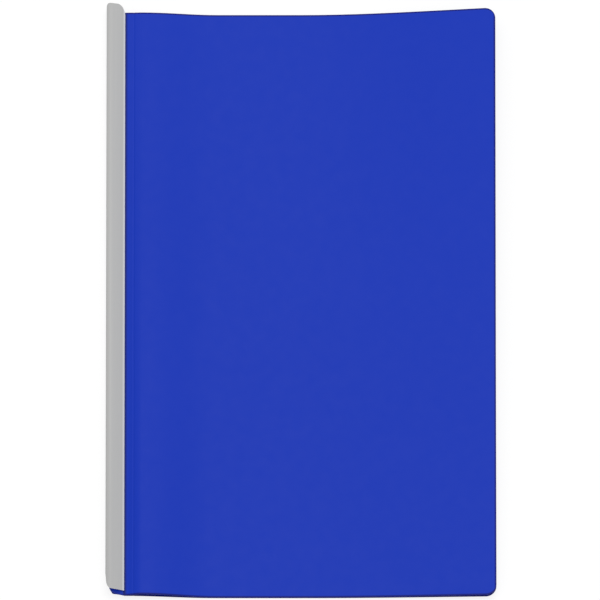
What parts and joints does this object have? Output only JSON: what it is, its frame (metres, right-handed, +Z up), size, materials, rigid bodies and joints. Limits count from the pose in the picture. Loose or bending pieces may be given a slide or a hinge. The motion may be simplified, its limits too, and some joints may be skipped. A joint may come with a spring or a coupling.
{
  "type": "file folder",
  "caption": "Plastic report folder: a folded sheet makes the front and back leaves, and an extruded bar slides on along the fold and pinches it.",
  "frame": {"origin": "on the table, under the middle of the whole folder as it lies on its back leaf", "axes": "+X from the spine to the free edges of the leaves, +Y along the spine to the top, +Z up from the table"},
  "size_m": [0.22, 0.3504, 0.0148],
  "materials": {
    "cover_film": "satin",
    "bar_plastic": "satin"
  },
  "bodies": {
    "cover": {"cover": "cover_film"},
    "spine_bar": {"spine_bar": "bar_plastic"}
  },
  "joints": [
    {"name": "bar_slide", "type": "slide", "parent": "cover", "child": "spine_bar", "axis": [0, 1, 0], "range_m": [-0.355, 0.355]}
  ]
}
